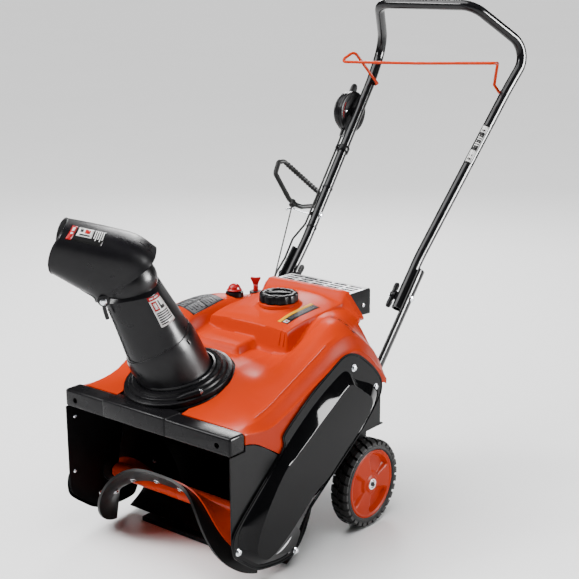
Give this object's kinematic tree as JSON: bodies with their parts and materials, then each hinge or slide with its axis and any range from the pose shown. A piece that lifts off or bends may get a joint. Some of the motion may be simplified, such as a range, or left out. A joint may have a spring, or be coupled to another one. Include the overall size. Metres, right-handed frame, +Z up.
{
  "type": "snow blower",
  "caption": "Single-stage walk-behind snow blower with rubber-paddle auger, turning discharge chute, tilting deflector, recoil starter and folding tube handle.",
  "frame": {"origin": "middle of the machine's footprint, on the ground", "axes": "+Z up, -Y the way the machine drives (auger opening), +X the operator's left"},
  "size_m": [0.5815, 1.2373, 1.1315],
  "materials": {
    "orange_plastic": "glossy moulded hood and wheel rims",
    "orange_steel": "painted",
    "black_plastic": "satin moulded",
    "chute_plastic": "satin gloss moulded",
    "gloss_plastic": "high gloss",
    "black_steel": "powder coated",
    "tube_steel": "gloss paint",
    "tank_plastic": "moulded",
    "grip_plastic": "moulded",
    "lever_plastic": "moulded",
    "drum_plastic": "moulded",
    "paddle_rubber": "moulded rubber",
    "tyre_rubber": "moulded tread",
    "belt_rubber": "wrapped belt",
    "red_rubber": "soft moulded",
    "red_plastic": "moulded",
    "rope": "braided",
    "cable_black": "cable jacket",
    "steel": "turned steel",
    "zinc": "zinc plated",
    "guard_steel": "pressed sheet",
    "muffler_steel": "heat proof paint",
    "cast_alloy": "cast",
    "white_ceramic": "glazed"
  },
  "bodies": {
    "frame": {"auger_housing": "black_steel", "side_plate_left": "black_steel", "side_plate_right": "black_steel", "front_cap": "black_plastic", "scraper_bar": "black_steel", "chute_ring": "black_plastic", "auger_bearing_left": "black_steel", "auger_bearing_right": "black_steel", "drive_belt": "belt_rubber", "hood": "orange_plastic", "side_cover_left": "gloss_plastic", "side_cover_right": "gloss_plastic", "muffler_guard": "guard_steel", "engine_deck": "black_steel", "engine_block": "cast_alloy", "spark_plug": "white_ceramic", "carburettor": "black_plastic", "fuel_tank": "tank_plastic", "muffler": "muffler_steel", "rear_panel": "black_plastic", "recoil_housing": "black_plastic", "wheel_axle": "zinc", "lower_handle_left": "tube_steel", "lower_handle_right": "tube_steel", "handle_bolt_left": "zinc", "handle_bolt_right": "zinc", "control_cable_lower": "cable_black"},
    "auger": {"auger_shaft": "steel", "auger_core": "orange_steel", "auger_paddle_front": "paddle_rubber", "auger_paddle_rear": "paddle_rubber", "auger_pulley": "steel"},
    "crank": {"crankshaft": "steel", "crank_pulley": "steel", "recoil_drum": "drum_plastic"},
    "idler": {"idler_arm": "steel", "idler_roller": "black_plastic"},
    "wheel_left": {"tyre_left": "tyre_rubber", "rim_left": "orange_plastic"},
    "wheel_right": {"tyre_right": "tyre_rubber", "rim_right": "orange_plastic"},
    "chute": {"chute_body": "chute_plastic", "deflector_bolt_near": "zinc", "deflector_bolt_far": "zinc"},
    "deflector": {"deflector": "chute_plastic"},
    "handle": {"upper_handle": "tube_steel", "control_housing": "black_plastic", "control_cable_upper": "cable_black", "cable_clamp": "black_plastic", "rope_guide": "zinc"},
    "chute_lever": {"control_lever": "lever_plastic"},
    "bail_bar": {"bail": "orange_steel"},
    "knob_left": {"wing_knob_left": "black_plastic"},
    "knob_right": {"wing_knob_right": "black_plastic"},
    "cap": {"fuel_cap": "black_plastic"},
    "starter": {"starter_grip": "grip_plastic", "starter_rope": "rope"},
    "primer": {"primer_bulb": "red_rubber"},
    "key": {"ignition_key": "red_plastic"}
  },
  "joints": [
    {"name": "auger_spin", "type": "hinge", "parent": "frame", "child": "auger", "pos_m": [0.0278, -0.3908, 0.122], "axis": [1, 0, 0], "continuous": true},
    {"name": "crank_spin", "type": "hinge", "parent": "frame", "child": "crank", "pos_m": [0.0278, -0.1428, 0.3], "axis": [1, 0, 0], "continuous": true},
    {"name": "wheel_left_spin", "type": "hinge", "parent": "frame", "child": "wheel_left", "pos_m": [0.2558, -0.0588, 0.1], "axis": [1, 0, 0], "continuous": true},
    {"name": "wheel_right_spin", "type": "hinge", "parent": "frame", "child": "wheel_right", "pos_m": [-0.2002, -0.0588, 0.1], "axis": [1, 0, 0], "continuous": true},
    {"name": "chute_turn", "type": "hinge", "parent": "frame", "child": "chute", "pos_m": [-0.0022, -0.3778, 0.383], "axis": [0, -0.2588, 0.9659], "range_deg": [-45, 145]},
    {"name": "deflector_tilt", "type": "hinge", "parent": "chute", "child": "deflector", "pos_m": [-0.0788, -0.49838, 0.58466], "axis": [0.6428, -0.7399, -0.1983], "range_deg": [0, 30]},
    {"name": "chute_lever_turn", "type": "hinge", "parent": "handle", "child": "chute_lever", "pos_m": [-0.2137, 0.4972, 0.838], "axis": [1, 0, 0], "range_deg": [-18, 58]},
    {"name": "bail_squeeze", "type": "hinge", "parent": "handle", "child": "bail_bar", "pos_m": [0.0278, 0.5532, 0.91], "axis": [-1, 0, 0], "range_deg": [0, 45], "stiffness_Nm_per_rad": 2, "springref_deg": -28.65},
    {"name": "idler_swing", "type": "hinge", "parent": "frame", "child": "idler", "pos_m": [0.2805, -0.1078, 0.262], "axis": [-1, 0, 0], "range_deg": [0, 5]},
    {"name": "handle_fold", "type": "hinge", "parent": "frame", "child": "handle", "pos_m": [0.0278, 0.1652, 0.47], "axis": [-1, 0, 0], "range_deg": [0, 80]},
    {"name": "knob_left_turn", "type": "hinge", "parent": "frame", "child": "knob_left", "pos_m": [0.1738, 0.1652, 0.47], "axis": [1, 0, 0], "range_deg": [-170, 170]},
    {"name": "knob_right_turn", "type": "hinge", "parent": "frame", "child": "knob_right", "pos_m": [-0.1182, 0.1652, 0.47], "axis": [-1, 0, 0], "range_deg": [-170, 170]},
    {"name": "fuel_cap_turn", "type": "hinge", "parent": "frame", "child": "cap", "pos_m": [0.0278, -0.0798, 0.486], "axis": [0, 0, 1], "range_deg": [0, 120]},
    {"name": "starter_pull", "type": "slide", "parent": "frame", "child": "starter", "axis": [-0.3106, 0.6909, 0.6529], "range_m": [0, 0.13], "stiffness_N_per_m": 60, "springref_m": -0.05},
    {"name": "primer_press", "type": "slide", "parent": "frame", "child": "primer", "axis": [0, 0, -1], "range_m": [0, 0.0025], "stiffness_N_per_m": 900, "springref_m": -0.001},
    {"name": "key_pull", "type": "slide", "parent": "frame", "child": "key", "axis": [0, 0, 1], "range_m": [0, 0.018]}
  ],
  "couplings": [
    {"joint": "crank_spin", "follows": "auger_spin", "ratio": 2.5},
    {"joint": "chute_lever_turn", "follows": "chute_turn", "ratio": 0.4},
    {"joint": "idler_swing", "follows": "bail_squeeze", "ratio": 0.11}
  ]
}
